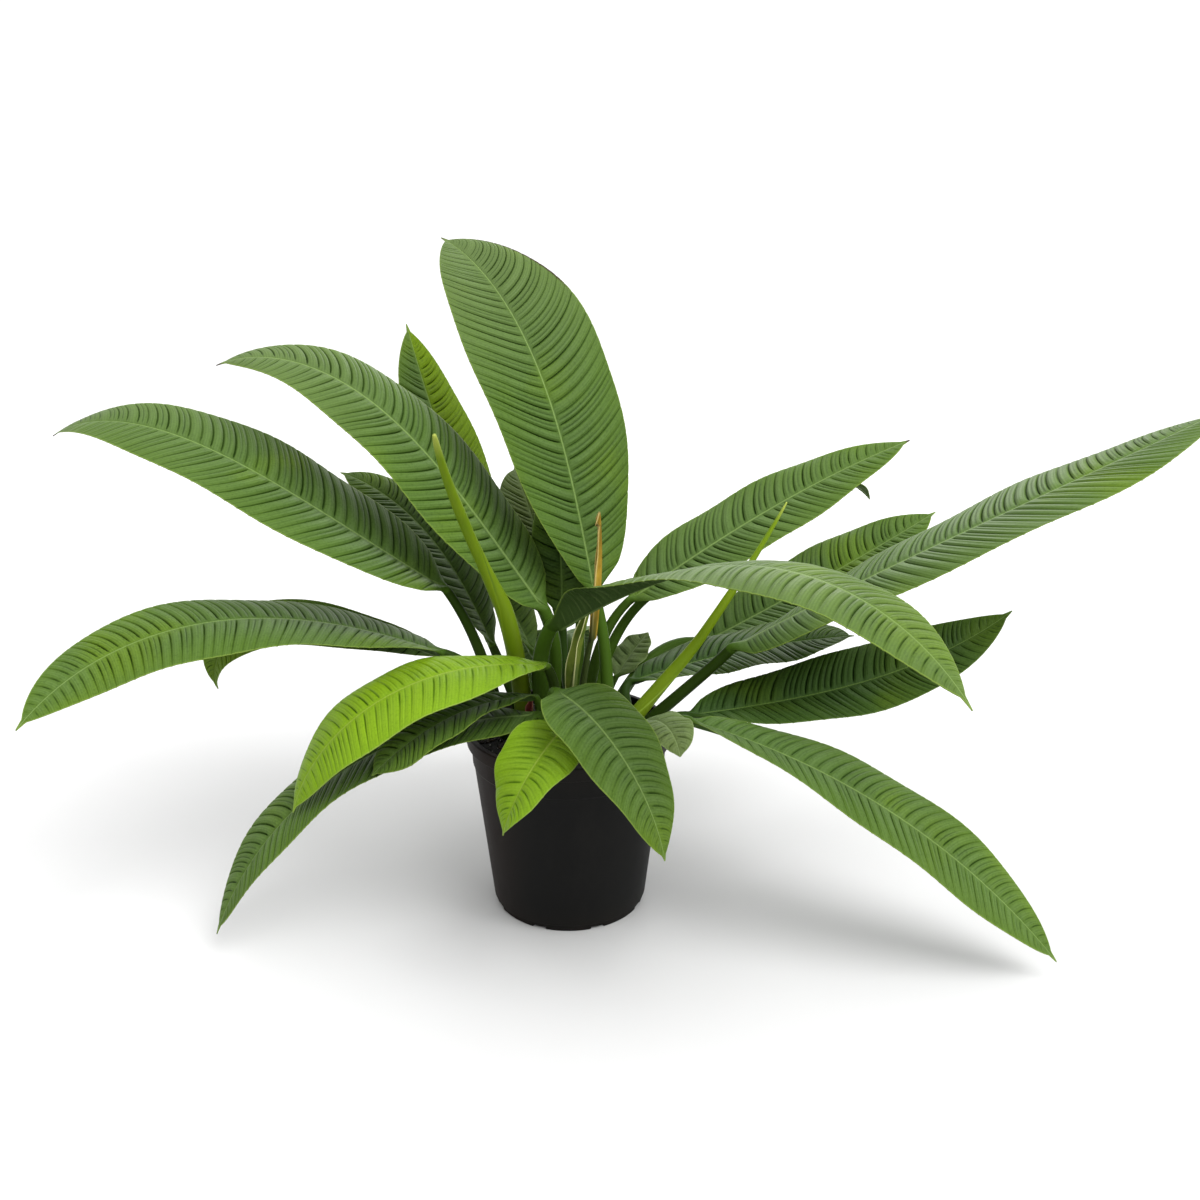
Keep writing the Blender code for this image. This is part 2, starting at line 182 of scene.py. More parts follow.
# What a leaf has where its own line doesn't say otherwise. foot is where it leaves the soil, and
# heading and rise the direction in which it starts. bend and turn lower and turn the stalk, droop
# and swing the blade; lift turns the blade's base up; roll and twist tip it about its midrib; fold
# lifts both halves, and cup adds to that at the base. The blade is widest at the share widest, late
# delays the droop, lean lets the side veins run outward, and blunt is what a spear's tip keeps of
# its thickness. depth is that of a pleat, and creased how far out its creases reach.
# Of the colours, stem scales the stalk's down as painted shade, tone the blade's at its base,
# middle and tip, and backTone the underside's down as painted shade. bloom is how much a
# painted sheen pales the middle and tip, yellow how yellow the base and tip are and how far the
# right half glows yellow with painted light shining through it, and dry how brown the tip and right
# rim.
plainLeaf = dict(bend=0, turn=0, lift=0, droop=30, swing=0, roll=0, twist=0, fold=14, widest=0.48,
    late=1.3, cup=16, lean=0.5, wave=1.6, blunt=0.2, footRadius=6.5, neckRadius=4.5, pleats=0,
    depth=3.6, creased=1, kind="leafGreen", stem=1, tone=(1, 1, 1), bloom=(0, 0),
    yellow=(0, 0.15, 0), dry=(0, 0), backTone=1)

leaves = {
    "leaf_tall": dict(foot=(40, 14), heading=94, rise=72, stalk=132, blade=418, width=166, bend=1,
        turn=49, lift=6, droop=59, swing=-3, roll=-6, twist=-11, fold=19, widest=0.55, late=2.3,
        footRadius=7, neckRadius=5.5, pleats=38, bloom=(0, 0.45), dry=(0.6, 1)),
    "leaf_left_high": dict(foot=(-22, 24), heading=169, rise=101, stalk=121, blade=423, width=121,
        bend=36, turn=5, lift=-9, droop=80, swing=6, roll=-25, twist=5, fold=8, widest=0.41,
        late=3.2, footRadius=8, neckRadius=6.5, pleats=36, bloom=(0, 0.4), dry=(1, 0)),
    "leaf_left_back": dict(foot=(-29, 60), heading=80, rise=34, stalk=75, blade=394, width=110,
        bend=4, turn=63, lift=26, droop=-5, swing=-19, roll=13, twist=-4, pleats=34, creased=0.35,
        yellow=(0.1, 0.1, 0.85)),
    "leaf_left_middle": dict(foot=(-66, 6), heading=155, rise=75, stalk=155, blade=441, width=125,
        bend=18, turn=36, lift=-21, droop=68, swing=-32, roll=-20, twist=4, fold=12, widest=0.34,
        late=3.2, pleats=37, stem=0.5, bloom=(0, 0.2), dry=(1, 0)),
    "leaf_left_rear": dict(foot=(-50, 42), heading=135, rise=58, stalk=78, blade=250, width=90,
        bend=-8, turn=24, droop=55, swing=1, roll=4, twist=-18, late=1.6, pleats=21, stem=0.5),
    "leaf_left_low": dict(foot=(-62, -12), heading=171, rise=75, stalk=110, blade=426, width=113,
        bend=61, turn=6, lift=6, droop=59, swing=56, roll=10, twist=-39, fold=6, widest=0.38,
        late=1.7, lean=0.28, pleats=39, creased=0.4, stem=0.5),
    "leaf_left_under": dict(foot=(-72, 28), heading=113, rise=42, stalk=99, blade=290, width=55,
        bend=23, turn=90, lift=3, droop=133, swing=-36, roll=-35, twist=-41, fold=30, widest=0.66,
        late=3.2, pleats=25, yellow=(0, 0.4, 0)),
    "leaf_front_left": dict(foot=(-20, -30), heading=181, rise=105, stalk=82, blade=311, width=99,
        bend=46, turn=25, lift=-43, droop=92, swing=-20, roll=9, twist=-41, fold=2, widest=0.36,
        late=1.2, lean=0.3, pleats=27, depth=2.4, creased=0.4, kind="leafYoung", stem=0.3),
    "leaf_front_left_under": dict(foot=(-30, -36), heading=191, rise=105, stalk=52, blade=181,
        width=70, bend=48, turn=14, lift=-42, droop=55, swing=5, roll=14, twist=-27, fold=12,
        widest=0.62, late=0.8, footRadius=5, neckRadius=3.5, pleats=16),
    "leaf_floor_left": dict(foot=(-24, -56), heading=189, rise=104, stalk=42, blade=404, width=95,
        bend=52, turn=-12, lift=-54, droop=67, swing=33, roll=-6, twist=3, widest=0.51, late=1.2,
        cup=-25, pleats=35),
    "leaf_front": dict(foot=(-6, -40), heading=-120, rise=80, stalk=97, blade=210, width=88,
        bend=70, turn=58, droop=89, swing=24, roll=7, twist=-8, widest=0.36, late=1, pleats=18,
        depth=2.4, creased=0.45),
    "leaf_front_small": dict(foot=(2, -60), heading=-73, rise=79, stalk=74, blade=132, width=86,
        bend=84, turn=-39, droop=68, swing=-25, roll=-10, twist=36, widest=0.42, footRadius=5,
        pleats=11, depth=2.4, creased=0.4, kind="leafYoung"),
    "leaf_curled": dict(foot=(58, -54), heading=-52, rise=76, stalk=49, blade=76, width=52,
        bend=41, droop=100, swing=-17, footRadius=4.5, neckRadius=3, pleats=7, creased=0.4,
        kind="leafPale"),
    "leaf_floor_right": dict(foot=(72, -40), heading=-20, rise=62, stalk=64, blade=420, width=98,
        bend=69, turn=3, lift=-2, droop=41, swing=1, roll=-9, twist=38, widest=0.47, late=1,
        pleats=37, depth=2.4, creased=0.5),
    "leaf_right_low": dict(foot=(63, -25), heading=24, rise=30, stalk=62, blade=349, width=92,
        bend=32, turn=-20, lift=9, droop=-29, swing=7, roll=3, twist=45, fold=17, widest=0.38,
        late=2.1, pleats=31, kind="leafShaded"),
    "leaf_right_inner": dict(foot=(60, 42), heading=132, rise=78, stalk=37, blade=238, width=104,
        bend=49, turn=-118, lift=-14, droop=6, swing=-30, twist=6, widest=0.62, late=1.6,
        pleats=22, kind="leafShaded"),
    "leaf_right_long": dict(foot=(72, 9), heading=13, rise=39, stalk=125, blade=534, width=135,
        bend=-12, turn=-37, lift=-15, droop=21, swing=52, roll=10, twist=-23, fold=9, widest=0.62,
        late=1.1, cup=-20, neckRadius=5.5, pleats=45, creased=0.6, stem=0.45, bloom=(0.1, 0)),
    "leaf_right_rear": dict(foot=(44, 50), heading=55, rise=36, stalk=150, blade=303, width=104,
        bend=55, turn=-38, lift=42, droop=-5, swing=-2, roll=12, twist=8, pleats=26),
    "leaf_right_high": dict(foot=(16, 36), heading=62, rise=70, stalk=128, blade=341, width=98,
        bend=26, turn=-59, lift=-8, droop=21, swing=18, roll=23, twist=-2, fold=12, widest=0.3,
        late=1.4, pleats=30, creased=0.7, stem=0.7, bloom=(0.1, 0), dry=(1, 0)),
    "leaf_front_arch": dict(foot=(-18, -10), heading=-28, rise=105, stalk=121, blade=511,
        width=100, bend=56, turn=-18, lift=-17, droop=79, swing=-5, roll=-7, twist=9, fold=3,
        widest=0.54, late=2.1, cup=95, lean=0.35, footRadius=10, neckRadius=7, pleats=39,
        creased=0.45, bloom=(0.3, 0.15), backTone=0.6),
    "leaf_back_inner": dict(foot=(-14, 45), heading=65, rise=68, stalk=109, blade=164, width=84,
        bend=-1, turn=76, lift=6, droop=46, swing=-32, roll=17, twist=-4, late=1.5, pleats=14,
        kind="leafPale"),
    "leaf_dark_inner": dict(foot=(4, 24), heading=111, rise=59, stalk=111, blade=139, width=60,
        bend=-36, turn=-17, lift=-9, droop=36, swing=9, late=0.9, footRadius=5, pleats=11,
        kind="leafShaded"),
    "leaf_small_back": dict(foot=(35, 78), heading=33, rise=60, stalk=31, blade=60, width=48,
        bend=9, turn=5, droop=19, footRadius=4.5, neckRadius=3, pleats=5, kind="leafPale",
        stem=0.6),
    "leaf_back_right": dict(foot=(22, 72), heading=35, rise=70, stalk=137, blade=335, width=50,
        bend=36, turn=-28, droop=82, swing=46, late=2.6, pleats=29, yellow=(0, 0.9, 0)),
    "leaf_back_high": dict(foot=(6, 68), heading=80, rise=65, stalk=113, blade=250, width=100,
        bend=6, turn=17, droop=34, swing=6, pleats=22),
    "leaf_back_low": dict(foot=(-4, 82), heading=80, rise=65, stalk=84, blade=250, width=96,
        bend=74, turn=18, droop=80, swing=7, pleats=22),
}

spears = {
    "spear_left": dict(foot=(-43, 6), heading=-125, rise=82, stalk=141, blade=220, width=12.5,
        bend=12, turn=-13, lift=-6, droop=13, swing=45, late=1.2, blunt=0.45, footRadius=9.5,
        neckRadius=8.5, tone=(0.95, 0.95, 1)),
    "spear_right": dict(foot=(53, -7), heading=17, rise=49, stalk=134, blade=159, width=9, bend=-9,
        turn=-57, droop=-6, swing=41, footRadius=8.5, neckRadius=5, tone=(1.3, 1.35, 1.4)),
}

sheaths = {
    "sheath_dry": dict(foot=(10, 4), heading=8, rise=85, stalk=92, blade=132, width=15, bend=9,
        turn=-1, lift=5, droop=-13, fold=50, widest=0.3, wave=0.5, footRadius=4, neckRadius=3,
        tone=(1, 0.85, 0.65)),
    "sheath_pale": dict(foot=(5, -16), heading=19, rise=97, stalk=42, blade=100, width=24, bend=10,
        turn=1, lift=-5, droop=12, swing=2, fold=45, widest=0.3, wave=0.5, footRadius=5,
        neckRadius=4, tone=(1.5, 1.5, 1.5)),
    "sheath_red": dict(foot=(-38, -27), heading=60, rise=87, stalk=24, blade=20, width=12, fold=45,
        widest=0.4, wave=0.5, footRadius=3.5, neckRadius=3),
}

# How every leaf is built. thickness is that at the midrib and at the margin, and bladeEnd where the
# blade proper ends and its drip tip starts; tipBlunt is what the tip lacks of the blade's length.
# The pairs give the least and most of what differs from pleat to pleat: how far its width is off
# the mean, how strong its main and its fainter crease are and how far out they end.
leafForm = dict(rootDepth=18, pathSteps=288, thickness=(0.9, 0.45), edgeCurl=0.2, bladeEnd=0.975,
    tipBlunt=0.012, dripWidth=90, stalkRows=16, plainRows=40, bladeStart=0.028,
    ribWidth=(0.3, 0.22), groove=0.9, pleatWidth=(0.86, 1.14), mainCrease=(0.5, 1.2),
    faintCrease=(-0.2, 0.9), creaseEnd=(0.75, 1.5), cusp=0.05, creaseWidth=0.09, hump=0.3)
columns = np.array([1, 0.985, 0.95, 0.88, 0.78, 0.66, 0.54, 0.42, 0.3, 0.2, 0.12, 0.065, 0.03,
                    0.012])
columns = np.concatenate([columns, [0], -columns[::-1]])  # across a blade, left margin to right
reach = np.abs(columns)
rowOffsets = np.array([0, 0.04, 0.1, 0.22, 0.44, 0.5, 0.56, 0.78, 0.9, 0.96])  # of one pleat
boxMargin, boxSqueeze = 10, 0.05  # how far from a side of the CAD model's box, and by how much


def soilHeight(x, y):
    # 178 + 8 (1 - r^2) + 1.6 lumps (1 - r), where r is the distance from the middle over the radius
    # of the pot's rim
    r = np.hypot(x, y) / pot["rimRadius"]
    lumps = np.sin(0.21 * x + 1) * np.sin(0.17 * y) + 0.6 * np.sin(0.33 * x - 0.29 * y)
    return soil["edge"] + soil["dome"] * np.clip(1 - r ** 2, 0, 1) + soil["lumps"] * lumps * (1 - r)


def pathOf(leaf):
    # With s from 0 to 1 up the stalk, its elevation is rise - bend s^2 and its azimuth heading +
    # turn s^2. With t from 0 to 1 along the blade, they go on as lift - droop t^late and swing t.
    # The points are the running sum of those directions, from the foot on the soil.
    steps = leafForm["pathSteps"]
    part = np.linspace(0, 1, steps + 1)
    stalkRise = leaf["rise"] - leaf["bend"] * part ** 2
    bladeRise = stalkRise[-1] + leaf["lift"] - leaf["droop"] * part ** leaf["late"]
    stalkTurn = leaf["heading"] + leaf["turn"] * part ** 2
    bladeTurn = stalkTurn[-1] + leaf["swing"] * part
    share = np.concatenate([part - 1, part[1:]])
    rise = np.radians(np.concatenate([stalkRise, bladeRise[1:]]))
    turn = np.radians(np.concatenate([stalkTurn, bladeTurn[1:]]))
    ahead = np.stack([np.cos(rise) * np.cos(turn), np.cos(rise) * np.sin(turn), np.sin(rise)], 1)
    step = np.repeat([leaf["stalk"] / steps, leaf["blade"] / steps], steps)[:, None]
    x, y = leaf["foot"]
    start = np.array([[x, y, soilHeight(x, y)]])
    points = np.concatenate([start, start + np.cumsum((ahead[1:] + ahead[:-1]) / 2 * step, 0)])
    left = np.stack([-np.sin(turn), np.cos(turn), 0 * turn], 1)
    up = np.cross(ahead, left)
    roll = np.radians(leaf["roll"] + leaf["twist"] * np.clip(share, 0, 1))[:, None]
    return {"share": share, "points": points, "ahead": ahead,
            "left": left * np.cos(roll) + up * np.sin(roll),
            "up": up * np.cos(roll) - left * np.sin(roll)}


def onPath(path, key, share):
    # the path's points or directions at an array of shares
    return np.stack([np.interp(share, path["share"], path[key][:, axis]) for axis in range(3)], -1)


def insideBox(points):
    # the last 10 mm before each side of the CAD model's box are drawn in by a twentieth
    low, high = (np.array(corner) / mm for corner in cadBox)
    beyondLow = np.clip(low + boxMargin - points, 0, None)
    beyondHigh = np.clip(points - high + boxMargin, 0, None)
    return points + boxSqueeze * (beyondLow - beyondHigh)


def halfWidth(leaf, share):
    # W/2 (1 - (1 - t/m)^2.4)^0.62 up to the widest place m and W/2 (1 - ((t-m)/(e-m))^2.3)^0.8 up
    # to the end e of the blade proper; a drip tip of half width 90 (1 - t) mm runs on from there
    widest, end = leaf["widest"], leafForm["bladeEnd"]
    near = (1 - np.clip(1 - share / widest, 0, 1) ** 2.4) ** 0.62
    far = (1 - np.clip((share - widest) / (end - widest), 0, 1) ** 2.3) ** 0.8
    drip = np.where(share > 0.9, leafForm["dripWidth"] * (1 - share), 0)
    return np.maximum(leaf["width"] / 2 * np.where(share < widest, near, far), drip)


def roundStalk(path, share, radius, angles):
    # centre + radius (up sin a - left cos a), a ring of points at each share
    centre, left, up = (onPath(path, key, share)[:, None] for key in ("points", "left", "up"))
    turn = angles[None, :, None]
    return centre + radius[:, None, None] * (up * np.sin(turn) - left * np.cos(turn))


def pleatRows(pleats, dice):
    # phase counts the pleats from the base, and the rows' share of the length follows from pleats
    # whose width is 1.12 - 0.35 k / n times the mean, and a little off by the seeded dice
    end = 1 - leafForm["tipBlunt"]
    if not pleats:
        rows = leafForm["plainRows"]
        return np.full(rows, 0.5), np.linspace(0, end, rows)
    width = 1.12 - 0.35 * np.arange(pleats) / pleats
    width = width * dice.uniform(*leafForm["pleatWidth"], pleats)
    marks = np.concatenate([[0], np.cumsum(width)]) / width.sum() * end
    phase = np.append((np.arange(pleats)[:, None] + rowOffsets).ravel(), pleats)
    return phase, np.interp(phase, np.arange(pleats + 1), marks)


def creases(leaf, phase, dice):
    # A pleat rises between two creases, each a narrow cusp of its own strength and length on either
    # half, and a fainter one may run down its middle: 0.3 sin^2(pi f) - main e^(-|f|/0.05) -
    # 0.8 faint e^(-|f - 0.5|/0.05). The second result is how much painted shade a crease lays on
    # each point.
    pleats, cusp, breadth = leaf["pleats"], leafForm["cusp"], leafForm["creaseWidth"]
    nearest = np.clip(np.round(phase).astype(int), 0, pleats)
    within = np.clip(phase.astype(int), 0, pleats)
    half = (columns < 0).astype(int)[None]
    toMain, toFaint = np.abs(phase - nearest), np.abs(phase % 1 - 0.5)
    each = (pleats + 1, 2)
    main = dice.uniform(*leafForm["mainCrease"], each)[nearest, half]
    faint = dice.uniform(*leafForm["faintCrease"], each).clip(0)[within, half]
    ends = leaf["creased"] * dice.uniform(*leafForm["creaseEnd"], each)[nearest, half]
    fade = smooth((ends + 0.25 - reach) / 0.35) * (pleats > 0)
    hump = leafForm["hump"] * np.sin(np.pi * phase) ** 2 - main * np.exp(-toMain / cusp)
    hump = hump - 0.8 * faint * np.exp(-toFaint / cusp)
    dark = main * smooth(1 - toMain / breadth) + faint * smooth(1 - toFaint / breadth)
    return hump, fade * dark


def leafShades(leaf, share):
    # what a blade's colours are scaled or mixed by: tone, the painted sheen, yellow with the painted
    # glow through the right half, and dry over the blade
    tone = np.interp(share, (0.15, 0.5, 0.85), leaf["tone"])
    bloom = np.interp(share, (0.5, 0.9), leaf["bloom"])
    base, tip, right = leaf["yellow"]
    # how far the right half glows yellow: painted light shining through the leaf
    backlitHalf = smooth(0.5 - 10 * columns) * smooth(2 * share)
    yellow = base * (1 - share) ** 2 + tip * share ** 2 + right * backlitHalf
    browned, rim = leaf["dry"]
    dry = browned * smooth((share - 0.975) / 0.012)
    dry = np.maximum(dry, rim * (columns < -0.96) * smooth((share - 0.7) / 0.06))
    return tone, bloom, yellow, dry


def buildLeaf(name, leaf, finishes, number):
    # Rows of points follow the side veins: share = row + lean |u|^1.5 w / length, and on the right
    # half they start half a pleat later. Over them the blade is centre + left u w cos f + up
    # (w (sin f |u| - curl u^2) + pleats + waves - groove), where f is fold + cup (1 - t)^6. It is
    # closed by the same sheet lower down, with a keel under the midrib.
    leaf = {**plainLeaf, **leaf}
    path = pathOf(leaf)
    dice = np.random.default_rng(seed + number)
    blade, pleats, neck = leaf["blade"], leaf["pleats"], leaf["neckRadius"]
    phase, rowShare = pleatRows(pleats, dice)
    end = 1 - leafForm["tipBlunt"] / 2
    phase = np.append(phase, phase[-1])[:, None]
    rowShare = np.append(rowShare, end)
    onward = leaf["lean"] * reach ** 1.5
    onward = onward * np.minimum(halfWidth(leaf, rowShare) / blade, 0.2)[:, None]
    later = 0.5 / max(pleats, 1) * smooth(-columns / 0.035)
    later = later * np.clip(12 * (1 - rowShare), 0, 1)[:, None]
    share = np.minimum(rowShare[:, None] + onward + later, end)
    width = np.maximum(halfWidth(leaf, share), 0.3)
    taper = np.clip(2.5 * width / leaf["width"], 0, 1)
    out = reach * width  # millimetres from the midrib
    hump, crease = creases(leaf, phase, dice)
    inner = smooth((out - 1) / 7) * (1 - 0.85 * reach ** 2) * (pleats > 0)
    wave = leaf["wave"] * taper * reach ** 3 * np.sin(19 * share + 2.4 * columns + blade)
    ribLeast, ribMore = leafForm["ribWidth"]
    rib = ribLeast + ribMore * neck * (1 - rowShare[:, None]) ** 0.9  # half the midrib's breadth
    groove = np.exp(-(out / rib / 1.6) ** 2) - 0.6 * np.exp(-(out / rib * 1.5) ** 2)
    relief = taper * (leaf["depth"] * hump * inner - leafForm["groove"] * groove) + wave
    fold = np.radians(np.minimum(leaf["fold"] + leaf["cup"] * (1 - share) ** 6, 70))
    height = width * (np.sin(fold) * reach - leafForm["edgeCurl"] * reach ** 2) + relief
    centre, left, up = (onPath(path, key, share) for key in ("points", "left", "up"))
    above = centre + left * (columns * width * np.cos(fold))[..., None] + up * height[..., None]
    middle, margin = leafForm["thickness"]
    keel = neck * (1 - share) ** 1.5 * np.exp(-(out / (0.8 * neck * (1 - share) + 0.8)) ** 2)
    thick = (middle + (margin - middle) * reach) / np.cos(fold) + keel
    body = np.concatenate([above, (above - up * thick[..., None])[:, ::-1]], 1)

    # the blade grows out of a round stalk, whose points lie 10 degrees clear of its sides
    angles = np.radians(90 + 80 * np.concatenate([columns, 0 * columns]))
    angles[len(columns):] = -np.radians(90 + 80 * columns[::-1])
    grown = smooth(rowShare / leafForm["bladeStart"])[:, None, None]
    collar = roundStalk(path, rowShare, np.full(len(rowShare), neck), angles)
    body = collar + (body - collar) * grown
    stalkShare = np.concatenate([[-1], np.linspace(-0.94, -0.02, leafForm["stalkRows"])])
    radius = leaf["footRadius"] + (neck - leaf["footRadius"]) * (1 + stalkShare)
    stalk = roundStalk(path, stalkShare, radius, angles)
    buried = stalk[:1] - leafForm["rootDepth"] * path["ahead"][0]
    rings = insideBox(np.concatenate([buried, stalk, body]))

    around, bare = 2 * len(columns), len(stalkShare) + 1
    bareRows = np.zeros((bare, around))

    def everywhere(values, onStalk=0.0, below=1.0):
        # values over the blade, the same times below on its underside, and onStalk along the stalk
        values = np.broadcast_to(values, share.shape)
        both = np.concatenate([values, below * values[:, ::-1]], 1)
        return np.concatenate([bareRows + onStalk, both])

    tone, bloom, yellow, dry = leafShades(leaf, share)
    attributes = {
        "rib": everywhere(out / rib), "edge": everywhere(width - out), "pleat": everywhere(phase),
        "under": everywhere(1.0), "crease": everywhere(crease * smooth((out - 1) / 5)),
        "reach": everywhere(reach), "stalk": everywhere(1 - grown[..., 0], 1.0),
        "yellow": everywhere(yellow), "dry": everywhere(dry), "bloom": everywhere(bloom),
        # stalks and undersides in shadow get their tone scaled down as painted shade
        "tone": everywhere(tone, leaf["stem"], leaf["backTone"]),
    }
    attributes["under"][:, :len(columns)] = 0
    kind = leaf["kind"]
    faces = tubeFaces(len(rings), around)
    return addPiece(name + "_fine", rings, faces, finishes[kind], name, attributes)


# Greens are given as the light they reflect, red, green and blue. Of each kind's greens, the crease
# one is painted shade in a crease, the under one the underside's colour darkened by painted shade,
# and the lighter crown one serves both random blotches and a painted highlight on each pleat's
# crown.
leafKinds = {
    "leafGreen": dict(body=(0.05, 0.098, 0.013), crown=(0.092, 0.155, 0.044),
        rim=(0.068, 0.128, 0.013), crease=(0.013, 0.038, 0.003), rib=(0.19, 0.28, 0.085),
        edge=(0.15, 0.22, 0.035), under=(0.034, 0.068, 0.014), yellow=(0.12, 0.2, 0.002),
        stalk=(0.04, 0.085, 0.007), rough=0.4),
    "leafYoung": dict(body=(0.14, 0.245, 0.009), crown=(0.17, 0.285, 0.018),
        rim=(0.16, 0.29, 0.008), crease=(0.05, 0.125, 0.002), rib=(0.25, 0.34, 0.05),
        edge=(0.21, 0.3, 0.05), under=(0.09, 0.15, 0.03), yellow=(0.2, 0.33, 0.004),
        stalk=(0.055, 0.11, 0.008), rough=0.4),
    "leafPale": dict(body=(0.11, 0.16, 0.05), crown=(0.16, 0.22, 0.09), rim=(0.12, 0.18, 0.05),
        crease=(0.04, 0.07, 0.015), rib=(0.24, 0.32, 0.13), edge=(0.2, 0.26, 0.1),
        under=(0.09, 0.13, 0.045), yellow=(0.16, 0.21, 0.03), stalk=(0.04, 0.085, 0.007),
        rough=0.45),
    # a darker copy of leafGreen: painted shade for leaves inside the crown or under others
    "leafShaded": dict(body=(0.03, 0.066, 0.012), crown=(0.047, 0.09, 0.023),
        rim=(0.045, 0.09, 0.01), crease=(0.004, 0.018, 0.001), rib=(0.13, 0.21, 0.05),
        edge=(0.1, 0.16, 0.03), under=(0.016, 0.04, 0.008), yellow=(0.09, 0.15, 0.004),
        stalk=(0.02, 0.045, 0.006), rough=0.38),
}
leafPaint = dict(blotches=16, speckles=420, patches=11, veins=5, fineVeins=4, gloss=0.06,
    bloomTint=(0.13, 0.17, 0.075), dryTint=(0.03, 0.016, 0.008))


def leafFinish(kind):
    # Body green, with random blotches and a painted highlight on the crown of each pleat, sin^2(pi
    # pleat), painted shade in its crease and a painted sheen that pales the middle and tip, with a
    # pale midrib and margin, a duller underside darkened by painted shade and a brown dry tip. Of
    # the fine veins, four to a pleat darken the colour and five raise the surface.
    tints = leafKinds[kind]
    p = newPaint(kind)
    rib, edge, pleat, under, stalk, tone, crease, far = (p.attribute(key) for key in (
        "rib", "edge", "pleat", "under", "stalk", "tone", "crease", "reach"))
    blotch = p.noise(leafPaint["blotches"], 3, 0.6)
    speckle = p.noise(leafPaint["speckles"], 2, 0.6)
    patch = p.step(p.noise(leafPaint["patches"]), 0.5, 0.75)
    highlightSine = p.maths("SINE", pleat * np.pi)
    above, blade = 1 - under, 1 - stalk
    # random blotches, and a painted highlight on the crown of each pleat
    colour = p.mix(0.45 * blotch + 0.5 * highlightSine * highlightSine, tints["body"], tints["crown"])
    colour = p.mix(0.5 * p.step(far, 0.3, 1), colour, tints["rim"])
    colour = p.mix(p.attribute("yellow") + 0.4 * patch, colour, tints["yellow"])
    colour = p.mix(0.3 * p.step(speckle, 0.45, 0.75), colour, tints["crease"])
    # a painted sheen pales the middle and tip
    colour = p.mix(p.attribute("bloom") * (0.6 + 0.6 * speckle), colour, leafPaint["bloomTint"])
    # painted shade in each crease
    colour = p.mix(0.95 * crease * (1 - 0.4 * far * far) * above, colour, tints["crease"])
    fine = p.maths("SINE", pleat * (2 * np.pi * leafPaint["fineVeins"]) + 5 * blotch)
    colour = p.mix((0.16 + 0.16 * fine) * blotch * above, colour, tints["crease"])
    # the underside duller and darkened by painted shade
    colour = p.mix(0.85 * under, colour, tints["under"])
    colour = p.mix(0.35 * crease * under, colour, tints["rib"])
    colour = p.mix(0.6 * p.step(rib, 1.2, 0.6) * blade, colour, tints["rib"])
    colour = p.mix(0.7 * p.step(edge, 1.4, 0.5) * blade, colour, tints["edge"])
    colour = p.mix(stalk, colour, tints["stalk"])
    colour = p.mix(p.attribute("dry"), colour, leafPaint["dryTint"])
    # tone also holds the painted shade on stalks and undersides
    colour = p.scaled(colour, tone + 0.3 * blotch - 0.15)
    veins = p.maths("SINE", pleat * (2 * np.pi * leafPaint["veins"]))
    height = 0.25 * veins * blade + 0.8 * speckle
    rough = tints["rough"] + 0.2 * blotch + 0.12 * crease + 0.12 * under - 0.06
    return p.surface(baseColor=colour, roughness=rough, normal=p.bump(height, 0.0004, 0.5),
                     specularIorLevel=leafPaint["gloss"])


spearForm = dict(stalkRows=24, bladeRows=90, around=36, overlap=0.16, thickest=0.25, seamStart=-60,
    seamTurn=180, seamWidth=0.06)


def buildSpear(name, spear, finish):
    # A round stalk that runs on as a rolled leaf. Its section is the spiral r (1 - 0.16 (1 -
    # a/2pi)) with a step where the margin overlaps, and the seam winds half a turn on its way up.
    spear = {**plainLeaf, **spear}
    path = pathOf(spear)
    foot, neck, roll = spear["footRadius"], spear["neckRadius"], spear["width"] / 2
    thickest, around = spearForm["thickest"], spearForm["around"]
    share = np.concatenate([np.linspace(-1, 0, spearForm["stalkRows"]),
                            np.linspace(0, 1, spearForm["bladeRows"])[1:]])
    stalk = foot + (neck - foot) * (1 + share)
    part = np.clip((share - thickest) / 0.77, 0, 1)
    far = roll * (1 - (1 - spear["blunt"]) * part ** 1.3) * (1 - part ** 20) ** 0.5
    near = neck + (roll - neck) * np.clip(share / thickest, 0, 1)
    radius = np.where(share < 0, stalk, np.where(share < thickest, near, far))
    spin = np.linspace(0, 2 * np.pi, around)  # both sides of the step are points of the ring
    rolled = smooth((share + 0.1) / 0.3)[:, None]
    size = radius[:, None] * (1 - rolled * spearForm["overlap"] * (1 - spin / (2 * np.pi)))
    turn = spin + np.radians(spearForm["seamStart"] + spearForm["seamTurn"] * share)[:, None]
    turn = (turn - spearForm["seamWidth"] * rolled * (spin > 6))[..., None]
    centre, left, up = (onPath(path, key, share)[:, None] for key in ("points", "left", "up"))
    rings = centre + size[..., None] * (left * np.cos(turn) + up * np.sin(turn))
    buried = rings[:1] - leafForm["rootDepth"] * path["ahead"][0]
    rings = np.concatenate([buried, rings])
    everyRow = np.concatenate([share[:1], share])[:, None]
    attributes = {"far": everyRow + 0 * spin, "spin": 0 * everyRow + spin,
                  "tone": np.interp(everyRow + 0 * spin, (0.15, 0.5, 0.85), spear["tone"])}
    faces = tubeFaces(len(rings), around)
    return addPiece(name + "_fine", rings, faces, finish, name, attributes)


